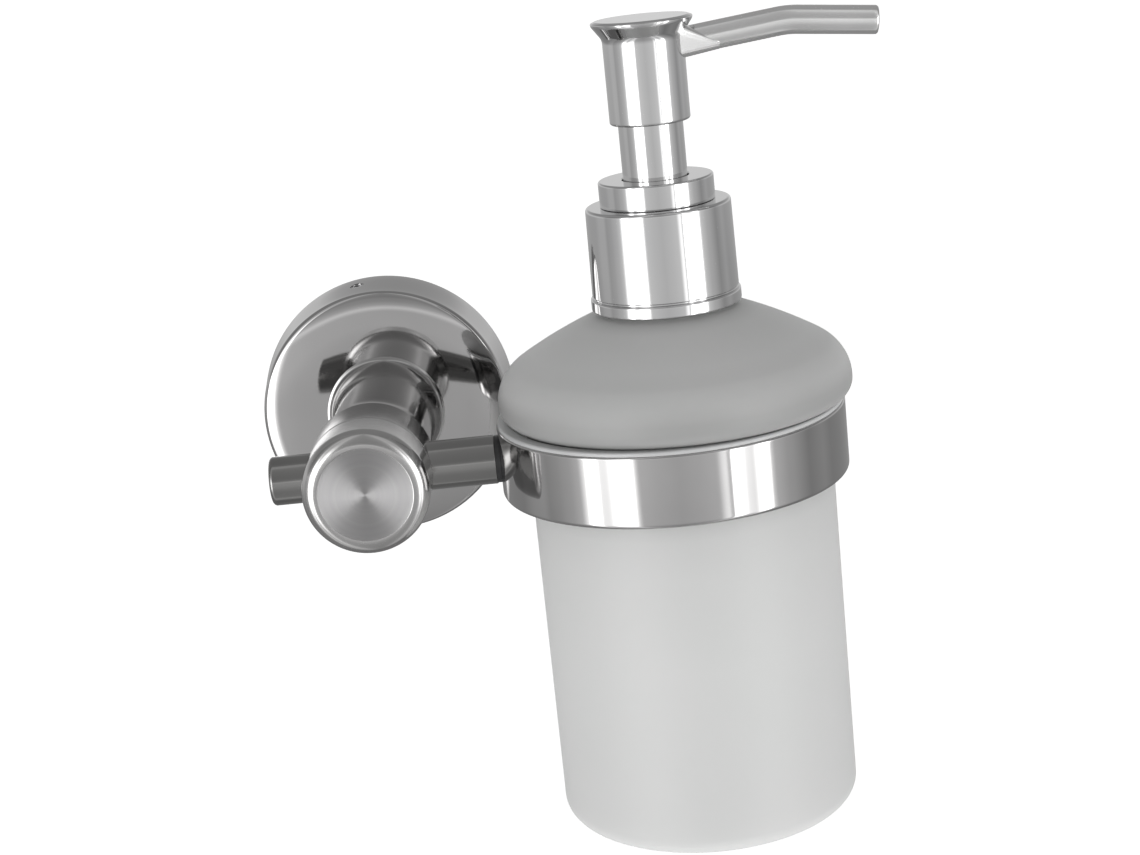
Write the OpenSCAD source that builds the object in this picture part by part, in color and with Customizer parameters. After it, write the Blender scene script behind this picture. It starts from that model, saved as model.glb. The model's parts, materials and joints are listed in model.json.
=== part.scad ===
// Wall mounted soap dispenser: a frosted bottle hanging in a ring on a wall bracket, with a lift-out pump.
// The origin is on the wall behind the centre of the flange. X runs right, to the bottle; Y into the wall; Z up.

/* [Overall] */
// How far the bottle's axis stands to the right of the flange's axis
bottle_x = 65; // [54:0.2:90]
// How far the cross bar and the bottle's axis stand off the wall
reach = 63; // [48:1:90]
// How far the ring's centre sits to the left of the bottle hanging in it
ring_shift = 1.4; // [0:0.1:3]

/* [Wall flange] */
// Diameter of the flange at the wall
flange_d = 58.8; // [50:0.2:80]
// Depth of the flange from the wall to the edge of its face
flange_depth = 14.6; // [12:0.2:20]
// Thickness of the flange's sheet
flange_wall = 1.6; // [1.2:0.1:3]
// Gap between the flange's rim and the steel bracket that it covers
bracket_gap = 2.3; // [1:0.1:5]
// Thickness of the bracket's plate
bracket_t = 2.5; // [2:0.1:4]
// How far each wall screw hole's axis is inside the bracket's edge
screw_inset = 8.5; // [6:0.5:14]
// Diameter of the two wall screw holes
screw_hole_d = 4.6; // [3.6:0.1:6]
// Diameter of the set screw that locks the flange on the bracket
grub_d = 3; // [2.5:0.5:5]
// How far the set screw leans to the left of the flange's top
grub_lean = 8; // [0:1:30]

/* [Post and cross bar] */
// Diameter of the post's head and of its end cap
post_d = 26.4; // [22:0.2:32]
// Diameter of the post's narrow waist
waist_d = 22.2; // [16:0.2:26]
// Diameter of the post's flared foot
foot_d = 27; // [22:0.2:34]
// How far the end cap's flat face is in front of the bar's axis
cap_front = 17.2; // [14:0.2:26]
// Radius of the end cap's rounded edge
cap_round = 3.2; // [1:0.1:5]
// Diameter of the cross bar
bar_d = 10.3; // [8:0.1:13]
// How far the cross bar sticks out to the left of the post's axis
bar_stub = 21; // [16:0.5:30]

/* [Ring] */
// Smallest gap between the bottle's body and the liner
bottle_gap = 0.53; // [0.3:0.01:3]
// Height of the ring's metal band
ring_h = 14.8; // [10:0.2:24]
// Thickness of the ring's metal band
ring_wall = 2; // [1.8:0.1:4]
// Thickness of the soft liner inside the ring
liner_wall = 0.7; // [0.5:0.05:2]
// Thickness of the liner's lip on top of the ring
lip_t = 0.9; // [0.6:0.1:1.6]
// Thickness of the dark washer between bar and ring
washer_t = 0.8; // [0.5:0.1:1.5]

/* [Bottle] */
// Outside diameter of the bottle's body
body_d = 63.5; // [50:0.5:80]
// Length of the body below the ring's lip
body_len = 88.9; // [60:0.1:110]
// How far the bottle's shoulder reaches out past the ring's own radius
shoulder_over = 0.45; // [0:0.05:4]
// Thickness of the bottle's neck
neck_wall = 2.8; // [2:0.1:5]
// Thickness of the glass
glass_t = 3; // [2:0.1:4]
// Thickness of the bottle's base
base_t = 5; // [3:0.5:8]

/* [Pump] */
// Thickness of the plastic nut inside the chromed collar
nut_wall = 1.05; // [0.8:0.05:2.5]
// How far the step ring on top of the collar reaches out past the guide bush
step_over = 3.8; // [2.2:0.1:5]
// Height of the step ring
step_h = 5.2; // [3:0.1:8]
// Diameter of the tube under the pump's head
sleeve_d = 13.2; // [12:0.1:17]
// How much further out the pump's head reaches than that tube
head_over = 1.6; // [1.3:0.1:4]
// Height of the pump's head
head_h = 20.8; // [18:0.1:26]
// How much further out the flat top reaches than the head
cap_over = 2.15; // [1:0.05:4]
// How far the head goes down when it is pressed
stroke = 10; // [6:0.5:14]
// Bore of the pump's chamber
chamber_d = 11.2; // [9.3:0.1:14]
// Diameter of the inlet ball
ball_d = 4.8; // [4:0.1:6]

/* [Spout] */
// Outside diameter of the spout
spout_d = 5.8; // [5:0.1:6.4]
// How far the spout's tip is from the head's axis
spout_reach = 47; // [36:0.5:60]
// Where along that reach the spout bends down
spout_bend = 29; // [22:0.5:34]
// Angle by which the spout rises to the bend and falls after it
spout_rise = 6; // [0:0.5:10]

/* [Clearances] */
// Radial clearance of pieces that slide or turn on each other
running = 0.05; // [0.02:0.01:0.1]
// Clearance between pieces that are fixed together
seat = 0.02; // [0.01:0.01:0.05]
// Gap between pieces that pass each other freely
free = 0.3; // [0.2:0.05:0.5]

/* [Hidden] */
$fn = 96;

flange_r = flange_d / 2;
flange_rim_r = flange_r - 1;          // at the front, before the edge rounds over
flange_round = 1.5;
foot_r = foot_d / 2;
// the face is flat in the middle and falls away more and more steeply to the rounded edge
face_flat_r = foot_r + 1.5;
face_fall = 13;                       // angle at which it runs into the edge
face_edge_r = flange_rim_r - flange_round + flange_round * sin(face_fall);
face_edge_y = flange_depth - flange_round + flange_round * cos(face_fall);
face_drop = tan(face_fall) * (face_edge_r - face_flat_r) / 3;
seat_y = face_edge_y + face_drop;     // the flat where the post stands
bracket_r = flange_rim_r - flange_wall - bracket_gap;
screw_span = 2 * (bracket_r - screw_inset);
bracket_h = 9;                        // height of the bracket's turned-up edge
bracket_wall = 2;
grub_y = 6;
grub_r = grub_d / 2;
grub_top = flange_r - 0.6;            // the set screw ends just under the flange's surface

post_r = post_d / 2;
bar_r = bar_d / 2;
head_back = bar_r + 1.85;             // the post's head starts this far behind the bar's axis
cap_seam = bar_r + 0.05;              // the end cap's joint line is this far in front of it
waist_r = waist_d / 2;
bar_bore_r = bar_r + seat;
post_screw_r = 3;
post_screw_len = 18;
post_screw_head_r = 5.5;
post_screw_head_h = 4;
cap_stud_r = 3;
stud_back = 8;                        // the cap's stud runs from here behind the bar's axis
stud_front = 13;                      // to here in front of it

body_r = body_d / 2;
ring_x = bottle_x - ring_shift;
liner_in_r = body_r + ring_shift + bottle_gap;
liner_r = liner_in_r + liner_wall;
ring_in_r = liner_r + seat;
ring_r = ring_in_r + ring_wall;
band_top = ring_h / 2;
lip_top = band_top + lip_t;
bar_end = ring_x - ring_r - washer_t;
ring_screw_r = 2;
ring_screw_head_r = 3.6;
ring_screw_head_h = 1.6;
ring_screw_len = bar_end / 2 - 0.2;

body_foot = 3.8;                       // rounding at the foot of the bottle
shoulder_z = lip_top + running;       // underside of the shoulder, which rests on the lip
bottle_z = shoulder_z - body_len;
shoulder_r = ring_r + shoulder_over;
under_r = 3.15;                       // rounding under the shoulder
edge_r = 9.2;                         // rounding over the shoulder
top_r = 110;                          // the slack curve from there up to the neck
edge_x = shoulder_r - edge_r;
edge_z = shoulder_z + under_r + 0.4;
top_x = edge_x - (top_r - edge_r) * cos(58);
top_z = edge_z - (top_r - edge_r) * sin(58);
// from the pump's tube outwards: guide bush, pump body, bottle's neck, nut and collar
sleeve_r = sleeve_d / 2;
guide_in_r = sleeve_r + running;
guide_r = guide_in_r + 1.35;
barrel_in_r = guide_r + seat;
barrel_r = barrel_in_r + 1.48;              // wide upper part of the pump's body
mouth_r = barrel_r + free + 0.4;
neck_r = mouth_r + neck_wall;
neck_base = top_z + top_r * sin(68) + 1.5;
lip_z = neck_base + 15.5;             // top of the bottle's mouth

shell_t = 0.5;
collar_low = neck_base - 0.4;
nut_in_r = neck_r + free;
nut_r = nut_in_r + nut_wall;
collar_r = nut_r + running + shell_t;
gasket_z = lip_z + running;
gasket_t = 0.85;
flange_z = gasket_z + gasket_t + running;   // underside of the pump body's flange
pump_flange_t = 1.6;
pump_flange_r = neck_r - 0.4;
nut_top_in = flange_z + pump_flange_t + running;
nut_top = nut_top_in + 1.9;
collar_top = nut_top + running + shell_t + 0.3;
collar_hole_r = guide_r + 1.3;
step_top = collar_top + step_h;
step_r = guide_r + step_over;

sleeve_in_r = sleeve_r - 0.6;
head_r = sleeve_r + head_over;
cap_r = head_r + cap_over;
head_z = step_top + stroke + 1.2;           // underside of the head at rest
head_top = head_z + head_h;
sleeve_z = step_top - 12.5;
sleeve_end = head_z + 3.7;
core_z = sleeve_end + 0.2;
core_top = head_top - 3.6;
core_r = head_r - 1.25;
stem_r = 3.4;
stem_bore_r = 1.6;
guide_low = sleeve_z - 7.5;
guide_top = step_top - 1.8;
barrel_low = guide_low - stroke - 2;
stop_top = guide_low - free;                // the stem's shoulder stops under the bush
stop_h = 1.2;
chamber_r = chamber_d / 2;
chamber_out_r = chamber_r + 1.4;
stem_foot_r = chamber_r - 0.9;
foot_z = barrel_low - 7;                    // underside of the stem's foot
foot_h = 1.4;
piston_z = foot_z + foot_h + running;
piston_h = 4.8;
floor_z = foot_z - stroke - 15.2;                    // floor of the pump's chamber
retainer_t = 0.8;
ball_r = ball_d / 2;
ball_room_r = ball_r + 0.4;
cone_top = floor_z - ball_r - 1.6;
cone_h = 1.8;
inlet_r = 1.5;
// the ball's centre, where it just rests on the cone
cone_len = sqrt(pow(ball_room_r - inlet_r, 2) + cone_h * cone_h);
ball_z = cone_top + (ball_r + running - ball_room_r * cone_h / cone_len) * cone_len / (ball_room_r - inlet_r);
tail_top = cone_top - cone_h - 1;
tail_len = 11;
tail_r = 3.8;
dip_r = 2.7;
dip_in_r = 1.9;
dip_low = bottle_z + base_t + 2;
spring_r = chamber_r - 1.9;
wire_r = 0.45;
spring_low = floor_z + retainer_t + seat;
spring_top = foot_z - seat;
coils = 7;

spout_r = spout_d / 2;
spout_in_r = spout_r - 0.7;
spout_z = head_top - 6.4;                   // height of the spout's line where it crosses the head's axis
spout_root = 3.6;

function arc(x, y, r, a, b, n) = [for (i = [0:n]) [x + r * cos(a + (b - a) * i / n), y + r * sin(a + (b - a) * i / n)]];
function ring_of(c, r, n, a) = [for (k = [0:n - 1]) [(c + r * cos(360 * k / n)) * cos(a), (c + r * cos(360 * k / n)) * sin(a),
    r * sin(360 * k / n)]];

// ---- placing ----

// Turns a piece made along +Z from the wall so that it stands out from the wall
module off_wall() { rotate([90, 0, 0]) children(); }
// Puts a piece made along +X on the cross bar's axis
module on_bar() { translate([0, -reach, 0]) children(); }
module on_bottle() { translate([bottle_x, -reach, 0]) children(); }
module on_ring() { translate([ring_x, -reach, 0]) children(); }
// Puts a piece made along +Z, from the flange's axis, on the set screw's line
module on_grub() { rotate([0, -grub_lean, 0]) translate([0, -grub_y, 0]) children(); }
module tube(r, r_in, z, top) {
    translate([0, 0, z]) difference() {
        cylinder(r = r, h = top - z);
        translate([0, 0, -1]) cylinder(r = r_in, h = top - z + 2);
    }
}
// A round bar of radius r along the spout's line, between two distances from the head's axis.
// Its two straights rise and fall by the same angle, so they meet on an upright plane at the bend.
module spout_line(r, from, to) {
    difference() {
        translate([0, 0, spout_z]) rotate([0, 90 - spout_rise, 0]) translate([0, 0, from])
            cylinder(r = r, h = min(to, spout_bend + 2 * r) - from);
        translate([spout_bend, -2 * r, 0]) cube([4 * r, 4 * r, 2 * head_top]);
    }
    if (to > spout_bend) difference() {
        translate([spout_bend, 0, spout_z + spout_bend * tan(spout_rise)]) rotate([0, 90 + spout_rise, 0])
            translate([0, 0, -r]) cylinder(r = r, h = r + (to - spout_bend) / cos(spout_rise));
        translate([spout_bend - 4 * r, -2 * r, 0]) cube([4 * r, 4 * r, 2 * head_top]);
    }
}

// ---- wall fixing ----

module wall_bracket() color("silver") off_wall() difference() {
    union() {
        cylinder(r = bracket_r, h = bracket_t);
        tube(bracket_r, bracket_r - bracket_wall, 0, bracket_h);
    }
    for (s = [-1, 1]) translate([s * screw_span / 2, 0, -1]) cylinder(d = screw_hole_d, h = bracket_t + 2);
}

module flange_outline() {
    polygon(concat([[0, 0], [flange_r, 0], [flange_rim_r, flange_depth - flange_round]],
        arc(flange_rim_r - flange_round, flange_depth - flange_round, flange_round, 0, 90 - face_fall, 6),
        [for (i = [7:-1:0]) [face_flat_r + (face_edge_r - face_flat_r) * i / 8, seat_y - face_drop * pow(i / 8, 3)]],
        [[0, seat_y]]));
}

module flange() color("gainsboro") difference() {
    union() {
        off_wall() difference() {
            rotate_extrude() flange_outline();
            translate([0, 0, -1]) cylinder(r1 = flange_r - flange_wall, r2 = flange_rim_r - flange_wall,
                h = 1 + flange_depth - flange_wall);
        }
        // a pad behind the rim that the set screw runs in
        intersection() {
            on_grub() translate([0, 0, bracket_r + 0.8]) cylinder(r = grub_r + 2.2, h = flange_r);
            off_wall() cylinder(r = flange_r - 1, h = flange_depth - flange_wall);
        }
    }
    off_wall() cylinder(r = post_screw_r + seat, h = seat_y + 1);
    on_grub() translate([0, 0, bracket_r - 1]) cylinder(r = grub_r + seat, h = flange_r);
}

module flange_grub_screw() color("dimgray") on_grub() difference() {
    translate([0, 0, bracket_r + seat]) cylinder(r = grub_r, h = grub_top - bracket_r);
    translate([0, 0, grub_top - 2]) cylinder(r = 0.575 * grub_r, h = 3, $fn = 6);
}

// ---- post, end cap and cross bar ----

// A foot that flares out onto the flange, a narrow waist, and a cove up to the head
module post_outline() {
    back = reach - head_back;
    flare = 8;
    cove = 12;
    polygon(concat([[0, seat_y + seat], [foot_r, seat_y + seat], [foot_r, seat_y + 0.35]],
        [for (i = [1:7]) let (a = 90 * i / 7) [foot_r - 0.2 - (foot_r - 0.2 - waist_r) * sin(a),
            seat_y + 0.4 + flare * (1 - cos(a))]],
        [for (i = [0:6]) let (t = i / 6) [waist_r + (post_r - 0.5 - waist_r) * pow(t, 2.6), back - cove + (cove - 0.5) * t]],
        [[post_r, back], [post_r, reach + cap_seam - 0.3], [post_r - 0.3, reach + cap_seam], [0, reach + cap_seam]]));
}

module post() color("gainsboro") difference() {
    off_wall() rotate_extrude() post_outline();
    translate([-post_r - 1, -reach, 0]) rotate([0, 90, 0]) cylinder(r = bar_bore_r, h = 2 * post_r + 2);
    off_wall() translate([0, 0, seat_y - 1]) cylinder(r = post_screw_r + seat, h = post_screw_len);
    off_wall() translate([0, 0, reach - stud_back - 0.5]) cylinder(r = cap_stud_r + seat, h = 30);
}

module post_screw() color("silver") off_wall() {
    low = flange_depth - flange_wall - post_screw_head_h - seat;
    difference() {
        union() {
            translate([0, 0, low]) cylinder(r = post_screw_head_r, h = post_screw_head_h);
            translate([0, 0, low]) cylinder(r = post_screw_r, h = seat_y + post_screw_len - 2 - low);
        }
        translate([0, 0, low - 1]) cylinder(r = 2.3, h = 3.4, $fn = 6);
    }
}

module end_cap() color("gainsboro") off_wall() difference() {
    rotate_extrude() polygon(concat([[0, reach + cap_seam + seat], [post_r - 0.3, reach + cap_seam + seat],
        [post_r, reach + cap_seam + 0.3]],
        arc(post_r - cap_round, reach + cap_front - cap_round, cap_round, 0, 90, 8), [[0, reach + cap_front]]));
    translate([0, 0, reach]) cylinder(r = cap_stud_r + seat, h = stud_front + 0.3);
}

module cap_stud() color("silver") off_wall() translate([0, 0, reach - stud_back])
    cylinder(r = cap_stud_r, h = stud_back + stud_front);

module cross_bar() color("gainsboro") on_bar() difference() {
    union() {
        translate([-bar_stub + 0.8, 0, 0]) rotate([0, 90, 0]) cylinder(r = bar_r, h = bar_end + bar_stub - 0.8);
        translate([-bar_stub, 0, 0]) rotate([0, 90, 0]) cylinder(r1 = bar_r - 0.8, r2 = bar_r, h = 0.8);
    }
    translate([bar_end - ring_screw_len, 0, 0]) rotate([0, 90, 0]) cylinder(r = ring_screw_r + seat, h = 30);
    rotate([90, 0, 0]) cylinder(r = cap_stud_r + seat, h = 20, center = true);
}

// ---- ring ----

module bar_washer() color("black") difference() {
    on_bar() translate([bar_end + seat, 0, 0]) rotate([0, 90, 0]) cylinder(r = bar_r - 0.2, h = washer_t + 1);
    on_bar() translate([bar_end - 1, 0, 0]) rotate([0, 90, 0]) cylinder(r = ring_screw_r + seat, h = 9);
    on_ring() translate([0, 0, -20]) cylinder(r = (ring_r + seat) / cos(180 / $fn), h = 40);
}

module ring_band() color("gainsboro") difference() {
    on_ring() rotate_extrude() translate([ring_in_r, 0]) polygon(concat([[0, -band_top + 0.5], [0.5, -band_top]],
        arc(ring_wall - 1.2, -band_top + 1.2, 1.2, -90, 0, 5), arc(ring_wall - 0.6, band_top - 0.6, 0.6, 0, 90, 3),
        [[0, band_top]]));
    ring_screw_room(seat);
}

module ring_screw_room(gap) on_bar() translate([ring_x - ring_r, 0, 0]) rotate([0, 90, 0]) {
    translate([0, 0, -1]) cylinder(r = ring_screw_r + gap, h = ring_wall + 1);
    translate([0, 0, ring_wall - ring_screw_head_h]) cylinder(r1 = ring_screw_r + gap,
        r2 = ring_screw_head_r + gap, h = ring_screw_head_h);
    if (gap > 0) translate([0, 0, ring_wall - 0.01]) cylinder(r = ring_screw_head_r + gap, h = 2);
}

module ring_screw() color("silver") difference() {
    union() {
        ring_screw_room(0);
        on_bar() translate([ring_x - ring_r - ring_screw_len, 0, 0]) rotate([0, 90, 0])
            cylinder(r = ring_screw_r, h = ring_screw_len);
    }
    on_bar() translate([ring_x - ring_in_r - 1, 0, 0]) rotate([0, 90, 0]) cylinder(r = 1.25, h = 3, $fn = 6);
}

module ring_liner() color("whitesmoke") on_ring() rotate_extrude() polygon(concat([
    [liner_in_r, -band_top + 0.8], [liner_r, -band_top + 0.8], [liner_r, band_top + seat],
    [ring_r - 0.3, band_top + seat]], arc(ring_r - 0.8, lip_top - 0.5, 0.5, 0, 90, 3), [[liner_in_r, lip_top]]));

// ---- bottle ----

module glass_bottle() color("gainsboro", 0.7) on_bottle() rotate_extrude() polygon(concat(
    [[0, bottle_z]], arc(body_r - body_foot, bottle_z + body_foot, body_foot, -90, 0, 8),
    [[body_r, shoulder_z]],
    arc(shoulder_r - under_r, shoulder_z + under_r, under_r, -90, 0, 6),
    arc(edge_x, edge_z, edge_r, 0, 58, 8), arc(top_x, top_z, top_r, 59, 68, 7),
    [[neck_r + 0.6, neck_base - 0.5], [neck_r, neck_base], [neck_r, lip_z - 0.4], [neck_r - 0.4, lip_z],
        [mouth_r, lip_z], [mouth_r, neck_base - 3], [mouth_r + 1.6, neck_base - 4.4]],
    arc(edge_x, edge_z + 0.2, edge_r - glass_t - 0.3, 58, 0, 6),
    [[body_r - 0.3, edge_z - 0.8], [body_r - glass_t, shoulder_z + 0.4]],
    arc(body_r - glass_t - 4, bottle_z + base_t + 4, 4, 0, -90, 6), [[0, bottle_z + base_t]]));

// ---- closure ----

module neck_gasket() color("dimgray") on_bottle() tube(neck_r - 0.2, mouth_r - 0.4, gasket_z, gasket_z + gasket_t);

module closure_nut() color("white") on_bottle() difference() {
    translate([0, 0, collar_low + 0.6]) cylinder(r = nut_r, h = nut_top - collar_low - 0.6);
    translate([0, 0, collar_low]) cylinder(r = nut_in_r, h = nut_top_in - collar_low);
    cylinder(r = collar_hole_r, h = nut_top + 1);
}

module collar_shell() color("gainsboro") on_bottle() rotate_extrude() polygon(concat(
    [[nut_r + running, collar_low]], arc(collar_r + 0.1, collar_low + 0.5, 0.5, -90, 0, 3),
    arc(collar_r + 0.1, collar_low + 2.2, 0.5, 0, 90, 3),
    [[collar_r - 0.05, collar_low + 2.8], [collar_r + 0.15, collar_low + 3.1]],
    arc(collar_r - 0.7, collar_top - 0.7, 0.7, 0, 90, 5),
    [[collar_hole_r, collar_top], [collar_hole_r, nut_top + running], [nut_r + running, nut_top + running]]));

module step_ring() color("gainsboro") on_bottle() rotate_extrude() polygon([
    [guide_r + free, nut_top_in + 0.3], [collar_hole_r - running, nut_top_in + 0.3],
    [collar_hole_r - running, collar_top + seat], [step_r, collar_top + seat], [step_r, step_top - 0.6],
    [step_r - 0.6, step_top], [guide_in_r + free, step_top], [guide_in_r + free, guide_top + free],
    [guide_r + free, guide_top + free]]);

// ---- pump ----

module pump_body() color("white") on_bottle() rotate_extrude() polygon([
    [barrel_in_r, flange_z + pump_flange_t], [pump_flange_r, flange_z + pump_flange_t], [pump_flange_r, flange_z],
    [barrel_r, flange_z], [barrel_r, barrel_low + 1], [barrel_r - 1, barrel_low - 1.5],
    [chamber_out_r, barrel_low - 1.5], [chamber_out_r, cone_top], [tail_r, tail_top], [tail_r, tail_top - tail_len],
    [dip_r + seat, tail_top - tail_len], [dip_r + seat, tail_top], [inlet_r, tail_top],
    [inlet_r, cone_top - cone_h], [ball_room_r, cone_top], [ball_room_r, floor_z], [chamber_r, floor_z],
    [chamber_r, barrel_low], [barrel_in_r, barrel_low]]);

module guide_bush() color("white") on_bottle() tube(guide_r, guide_in_r, guide_low, guide_top);

module ball_retainer() color("white") on_bottle() difference() {
    translate([0, 0, floor_z + seat]) cylinder(r = chamber_r - seat, h = retainer_t - seat);
    for (a = [0:90:270]) rotate([0, 0, a]) translate([2, 0, floor_z - 1]) cylinder(r = 0.8, h = 3);
}

module inlet_ball() color("silver") on_bottle() translate([0, 0, ball_z]) sphere(r = ball_r);

module dip_tube() color("white", 0.8) on_bottle() tube(dip_r, dip_in_r, dip_low, tail_top - seat);

// A round wire swept up a helix: each section is a ring of 8 points
module return_spring() color("silver") on_bottle() {
    steps = coils * 20;
    rise = (spring_top - spring_low - 2 * wire_r) / steps;
    pts = [for (i = [0:steps]) for (p = ring_of(spring_r, wire_r, 8, i * 18))
        [p[0], p[1], p[2] + spring_low + wire_r + rise * i]];
    last = 8 * steps;
    polyhedron(points = pts, faces = concat([[for (k = [0:7]) k]], [[for (k = [7:-1:0]) last + k]],
        [for (i = [0:steps - 1]) for (k = [0:7]) [8 * i + k, 8 * i + 8 + k, 8 * i + 8 + (k + 1) % 8, 8 * i + (k + 1) % 8]]));
}

module piston_cup() color("gainsboro") on_bottle() rotate_extrude() polygon([
    [stem_r + running, piston_z], [chamber_r - running, piston_z], [chamber_r - running, piston_z + piston_h],
    [chamber_r - running - 0.8, piston_z + piston_h], [chamber_r - running - 1.1, piston_z + 1.6],
    [stem_r + running, piston_z + 1.6]]);

module stem_rod() color("white") on_bottle() rotate_extrude() polygon([
    [stem_bore_r, foot_z], [stem_foot_r, foot_z], [stem_foot_r, foot_z + foot_h], [stem_r, foot_z + foot_h],
    [stem_r, stop_top - stop_h], [guide_in_r + 0.8, stop_top - stop_h], [guide_in_r + 0.8, stop_top],
    [sleeve_in_r - seat, stop_top], [sleeve_in_r - seat, sleeve_z - 0.2],
    [sleeve_r, sleeve_z - 0.2], [sleeve_r, sleeve_z - seat], [sleeve_in_r - seat, sleeve_z - seat],
    [sleeve_in_r - seat, sleeve_z + 4], [stem_r + 0.8, sleeve_z + 4],
    [stem_r + 0.8, sleeve_end - 4], [sleeve_in_r - seat, sleeve_end - 4], [sleeve_in_r - seat, sleeve_end - 0.3],
    [stem_r, sleeve_end - 0.3], [stem_r, core_z + 6], [stem_bore_r, core_z + 6]]);

module stem_sleeve() color("gainsboro") on_bottle() tube(sleeve_r, sleeve_in_r, sleeve_z, sleeve_end);

// ---- head ----

module head_core() color("white") on_bottle() difference() {
    translate([0, 0, core_z]) cylinder(r = core_r - seat, h = core_top - core_z - seat);
    translate([0, 0, core_z - 1]) cylinder(r = stem_r + seat, h = 7.1);
    translate([0, 0, core_z]) cylinder(r = stem_bore_r, h = spout_z + 1 - core_z);
    spout_line(spout_r + seat, spout_root - seat, head_r + 3);
    spout_line(stem_bore_r - 0.2, 0.3, spout_root + 1);
}

module head_shell() color("gainsboro") on_bottle() difference() {
    union() {
        rotate_extrude() polygon(concat([[0, head_z]], arc(head_r - 1, head_z + 1, 1, -90, 0, 4),
            [[head_r, head_top - 3.5], [cap_r - 0.3, head_top - 0.9]],
            arc(cap_r - 0.4, head_top - 0.4, 0.4, 0, 90, 2), [[0, head_top]]));
        // the web between the flat top and the spout
        translate([0, 2.2, 0]) rotate([90, 0, 0]) linear_extrude(4.4) polygon([[head_r - 1, head_top - 5],
            [head_r - 1, head_top - 0.5], [cap_r - 0.3, head_top - 0.5], [head_r + 6, head_top - 2.3],
            [head_r + 6, head_top - 4]]);
    }
    translate([0, 0, head_z - 1]) cylinder(r = core_r, h = core_top - head_z + 1);
    spout_line(spout_r + seat, 1, head_r + 12);
}

module spout_tube() color("gainsboro") on_bottle() difference() {
    spout_line(spout_r, spout_root, spout_reach);
    spout_line(spout_in_r, spout_root - 1, spout_reach + 1);
}

wall_bracket();
flange();
flange_grub_screw();
post();
post_screw();
end_cap();
cap_stud();
cross_bar();
bar_washer();
ring_band();
ring_screw();
ring_liner();
glass_bottle();
neck_gasket();
closure_nut();
collar_shell();
step_ring();
pump_body();
guide_bush();
ball_retainer();
inlet_ball();
dip_tube();
return_spring();
piston_cup();
stem_rod();
stem_sleeve();
head_core();
head_shell();
spout_tube();
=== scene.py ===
import json
import math

import bmesh
import bpy
from mathutils import Matrix, Vector


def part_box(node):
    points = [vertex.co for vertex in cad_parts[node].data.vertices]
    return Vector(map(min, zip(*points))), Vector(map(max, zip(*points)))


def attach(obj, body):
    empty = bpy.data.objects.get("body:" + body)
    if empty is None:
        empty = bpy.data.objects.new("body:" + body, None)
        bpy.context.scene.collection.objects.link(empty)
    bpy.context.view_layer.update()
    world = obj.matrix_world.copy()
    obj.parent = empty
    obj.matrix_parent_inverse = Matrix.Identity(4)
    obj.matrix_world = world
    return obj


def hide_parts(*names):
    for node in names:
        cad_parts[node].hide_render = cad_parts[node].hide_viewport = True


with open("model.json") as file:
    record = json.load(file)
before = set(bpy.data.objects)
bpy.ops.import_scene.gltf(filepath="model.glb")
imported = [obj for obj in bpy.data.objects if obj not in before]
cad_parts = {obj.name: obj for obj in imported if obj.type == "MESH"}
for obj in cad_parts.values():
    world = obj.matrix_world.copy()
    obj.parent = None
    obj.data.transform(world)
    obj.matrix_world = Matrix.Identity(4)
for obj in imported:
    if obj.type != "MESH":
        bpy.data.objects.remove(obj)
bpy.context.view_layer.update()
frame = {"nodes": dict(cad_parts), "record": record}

MM = 0.001
PI = math.pi

# ---------------------------------------------------------------- places taken from the frame


def size_of(node):
    """The low and the high corner of a CAD piece, in metres."""
    low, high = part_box(node)
    return low, high


def mid(node, k):
    """The middle of a CAD piece along axis k, in metres."""
    low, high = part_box(node)
    return (low[k] + high[k]) / 2


bottle_low, bottle_high = size_of("glass_bottle")
BX = mid("glass_bottle", 0)
BY = mid("glass_bottle", 1)
RING_X = mid("ring_band", 0)
REACH = -BY

# ---------------------------------------------------------------- profiles


def arc(cx, cy, r, a, b, n):
    """Points on a circle from angle a to b in degrees."""
    return [(cx + r * math.cos(math.radians(a + (b - a) * i / n)),
             cy + r * math.sin(math.radians(a + (b - a) * i / n))) for i in range(n + 1)]


def rounded(points, closed=True):
    """A polyline whose corners are rounded. Each point is (x, y) or (x, y, radius)."""
    out = []
    n = len(points)
    for i, p in enumerate(points):
        r = p[2] if len(p) > 2 else 0.0
        if r <= 0 or (not closed and i in (0, n - 1)):
            out.append((p[0], p[1]))
            continue
        p0 = Vector(points[(i - 1) % n][:2])
        p1 = Vector(p[:2])
        p2 = Vector(points[(i + 1) % n][:2])
        u = (p0 - p1).normalized()
        v = (p2 - p1).normalized()
        half = u.angle(v) / 2
        back_off = min(r / math.tan(half), 0.45 * (p0 - p1).length, 0.45 * (p2 - p1).length)
        rr = back_off * math.tan(half)
        centre = p1 + (u + v).normalized() * rr / math.sin(half)
        a = p1 + u * back_off
        b = p1 + v * back_off
        a0 = math.atan2(a.y - centre.y, a.x - centre.x)
        a1 = math.atan2(b.y - centre.y, b.x - centre.x)
        while a1 - a0 > PI:
            a1 -= 2 * PI
        while a1 - a0 < -PI:
            a1 += 2 * PI
        steps = max(3, int(abs(a1 - a0) / math.radians(9)))
        hold = min(0.12, back_off * 0.5, 0.2 * (p0 - p1).length, 0.2 * (p2 - p1).length)
        pre = p1 + u * (back_off + hold)
        out.append((pre.x, pre.y))
        for k in range(steps + 1):
            t = a0 + (a1 - a0) * k / steps
            out.append((centre.x + rr * math.cos(t), centre.y + rr * math.sin(t)))
        after = p1 + v * (back_off + hold)
        out.append((after.x, after.y))
    return out


UP = Matrix.Identity(4)
OUT = Matrix.Rotation(math.radians(90), 4, "X")      # +Z turned to -Y, away from the wall
ALONG = Matrix.Rotation(math.radians(90), 4, "Y")    # +Z turned to +X, along the bar


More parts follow.
